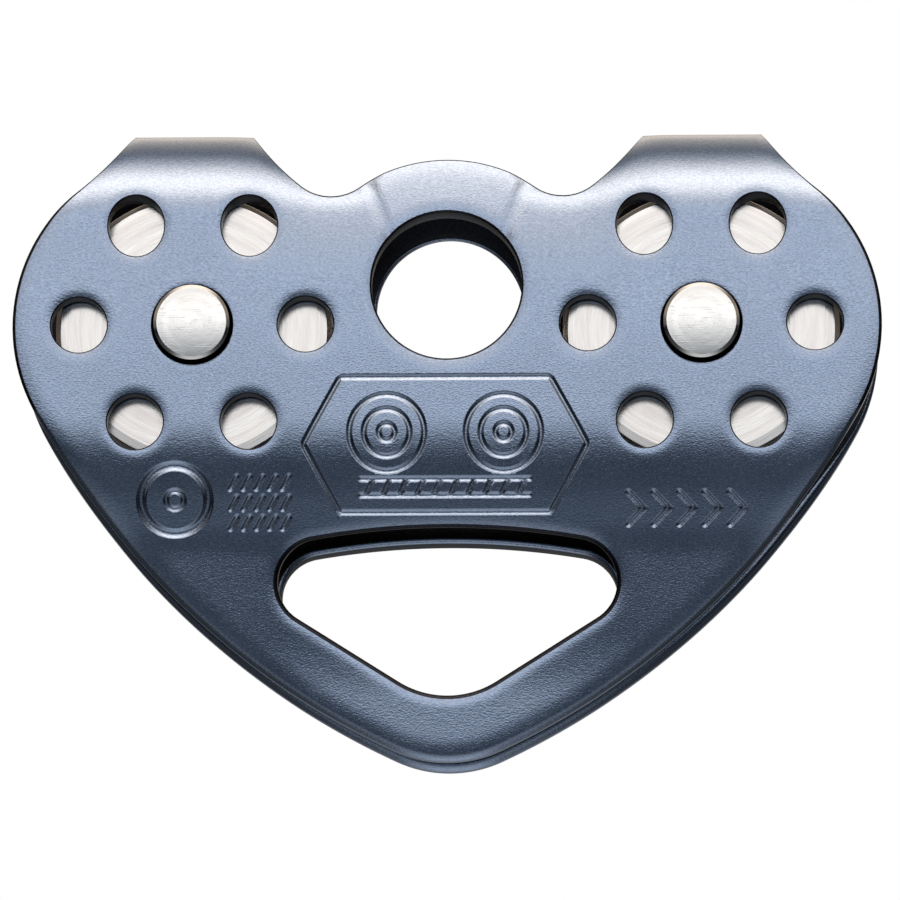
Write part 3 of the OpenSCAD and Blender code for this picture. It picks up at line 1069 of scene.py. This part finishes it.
def sky_strength(tree, apart):
    """Strength of the surroundings, which falls off along the rope axis."""
    sideways = add_node(tree, "Math", operation="ABSOLUTE")
    tree.links.new(apart.outputs["X"], sideways.inputs[0])
    falloff = add_node(tree, "MapRange", interpolation_type="SMOOTHSTEP")
    falloff.inputs["From Min"].default_value = SIDE_START
    falloff.inputs["From Max"].default_value = SIDE_FULL
    falloff.inputs["To Min"].default_value = SKY_STRENGTH
    falloff.inputs["To Max"].default_value = SKY_STRENGTH * SIDE_LEVEL
    tree.links.new(sideways.outputs[0], falloff.inputs["Value"])
    return falloff.outputs["Result"]


def studio_world():
    """Long soft lights along the rope axis, and a plain white backdrop for the camera."""
    world = bpy.data.worlds.new("studio")
    bpy.context.scene.world = world
    world.use_nodes = True
    tree = world.node_tree
    apart = add_node(tree, "SeparateXYZ")
    tree.links.new(tree.nodes.new("ShaderNodeTexCoord").outputs["Generated"], apart.inputs[0])
    background = tree.nodes["Background"]
    tree.links.new(sky_around(tree, apart), background.inputs["Color"])
    tree.links.new(sky_strength(tree, apart), background.inputs["Strength"])
    backdrop = add_node(tree, "Background", Color=(1, 1, 1, 1), Strength=BACKDROP)
    seen = tree.nodes.new("ShaderNodeLightPath")
    mix = tree.nodes.new("ShaderNodeMixShader")
    tree.links.new(seen.outputs["Is Camera Ray"], mix.inputs["Fac"])
    tree.links.new(background.outputs[0], mix.inputs[1])
    tree.links.new(backdrop.outputs[0], mix.inputs[2])
    tree.links.new(mix.outputs[0], tree.nodes["World Output"].inputs["Surface"])


def floor():
    """Plain pale floor, well below the part."""
    material, tree, shader = new_material("pale_floor", (0.8, 0.8, 0.8), 0.7, 0.0)
    place_in = tree.nodes.new("ShaderNodeTexCoord").outputs["Object"]
    tint = ramp(tree, noise(tree, place_in, 3, 3.0), [(0.3, 0.83), (0.7, 0.86)])
    tree.links.new(tint, shader.inputs["Base Color"])
    corners = [(-1, -1), (1, -1), (1, 1), (-1, 1)]
    vertices = [(x * FLOOR_REACH / MM, y * FLOOR_REACH / MM, -FLOOR_DROP / MM) for x, y in corners]
    plain = new_mesh_object("studio_floor", vertices, [(0, 1, 2, 3)], material)
    plain.visible_glossy = False


def camera():
    """Long lens, below the part and looking up at it."""
    rise, turn = math.radians(CAMERA_RISE), math.radians(CAMERA_TURN)
    ahead = Vector((-math.sin(turn) * math.cos(rise), math.cos(turn) * math.cos(rise), math.sin(rise)))
    data = bpy.data.cameras.new("camera")
    data.lens = CAMERA_LENS
    data.sensor_width = SENSOR_WIDTH
    data.clip_start, data.clip_end = CLIP_RANGE
    eye = bpy.data.objects.new("camera", data)
    bpy.context.scene.collection.objects.link(eye)
    target = Vector((CAMERA_AIM[0], -OUTER_FACE, CAMERA_AIM[1])) * MM
    eye.location = target - ahead * CAMERA_DISTANCE
    eye.rotation_euler = ahead.to_track_quat("-Z", "Y").to_euler()
    bpy.context.scene.camera = eye


# ---------------------------------------------------------------- put together

side_plates(
    anodised("satin_blue_anodising", SATIN_BLUE, 0.17),
    # The second material is painted shade: near black anodising for the plate faces that lie in shade.
    anodised("painted_shade_plate_edge", PAINTED_SHADE_BLUE, 0.35),
)
turned_parts(
    turned_metal("spun_steel", STEEL_GREY, 0.14, 5000, 0.0006, 0.000006, scratched=True),
    turned_metal("turned_aluminium", ALUMINIUM_GREY, 0.2, 6000, 0.0008, 0.000008),
    turned_metal("bearing_bronze", BRONZE_BROWN, 0.3, 4000, 0.001, 0.000008),
)
studio_world()
floor()
camera()
bpy.context.scene.view_settings.view_transform = "Standard"
